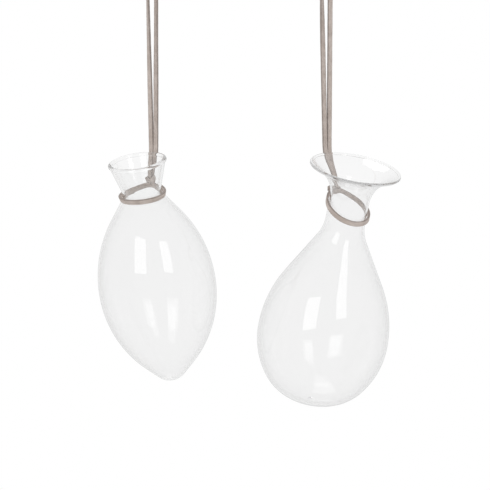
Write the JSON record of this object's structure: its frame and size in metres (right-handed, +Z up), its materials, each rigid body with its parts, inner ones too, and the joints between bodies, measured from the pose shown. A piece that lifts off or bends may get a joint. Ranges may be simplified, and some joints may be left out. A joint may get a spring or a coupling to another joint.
{
  "type": "propagation vase",
  "caption": "Clear blown-glass propagation vases that hang at a lean, each from a flat suede lace knotted round its neck and looped over a wall hook.",
  "frame": {"origin": "centre of the left-hand hook, inside the top bend of the almond-shaped vessel's lace", "axes": "+Z up, -Y towards the viewer, +X towards the second vessel; the hooks stick out along Y"},
  "size_m": [0.1866, 0.093, 0.2665],
  "materials": {
    "glass": "clear, fire-polished",
    "lace": "soft matt suede"
  },
  "bodies": {
    "hooked_loops": {"almond_hanging_loop": "lace", "teardrop_hanging_loop": "lace"},
    "almond_strands": {"almond_upper_strand_left": "lace", "almond_upper_strand_right": "lace"},
    "almond_sling": {"almond_lower_strand_left": "lace", "almond_lower_strand_right": "lace", "almond_neck_loop": "lace", "almond_knot": "lace"},
    "almond_vessel": {"almond_glass": "glass"},
    "teardrop_strands": {"teardrop_upper_strand_left": "lace", "teardrop_upper_strand_right": "lace"},
    "teardrop_sling": {"teardrop_lower_strand_left": "lace", "teardrop_lower_strand_right": "lace", "teardrop_neck_loop": "lace", "teardrop_knot": "lace"},
    "teardrop_vessel": {"teardrop_glass": "glass"}
  },
  "joints": [
    {"name": "almond_swing", "type": "hinge", "parent": "hooked_loops", "child": "almond_strands", "pos_m": [0, 0, 0], "axis": [0, 1, 0], "range_deg": [-6, 45]},
    {"name": "almond_tip", "type": "hinge", "parent": "almond_strands", "child": "almond_sling", "pos_m": [0, 0, -0.107], "axis": [0.8886, -0.4587, 0], "range_deg": [-20, 60]},
    {"name": "almond_turn", "type": "hinge", "parent": "almond_sling", "child": "almond_vessel", "pos_m": [-0.00853, -0.01654, -0.11138], "axis": [-0.1207, -0.2338, 0.9648], "continuous": true},
    {"name": "teardrop_swing", "type": "hinge", "parent": "hooked_loops", "child": "teardrop_strands", "pos_m": [0.106, 0, 0], "axis": [0, 1, 0], "range_deg": [-45, 6]},
    {"name": "teardrop_tip", "type": "hinge", "parent": "teardrop_strands", "child": "teardrop_sling", "pos_m": [0.106, 0, -0.108], "axis": [0.7627, 0.6468, 0], "range_deg": [-20, 60]},
    {"name": "teardrop_turn", "type": "hinge", "parent": "teardrop_sling", "child": "teardrop_vessel", "pos_m": [0.12395, -0.02117, -0.11583], "axis": [0.1976, -0.233, 0.9522], "continuous": true}
  ]
}
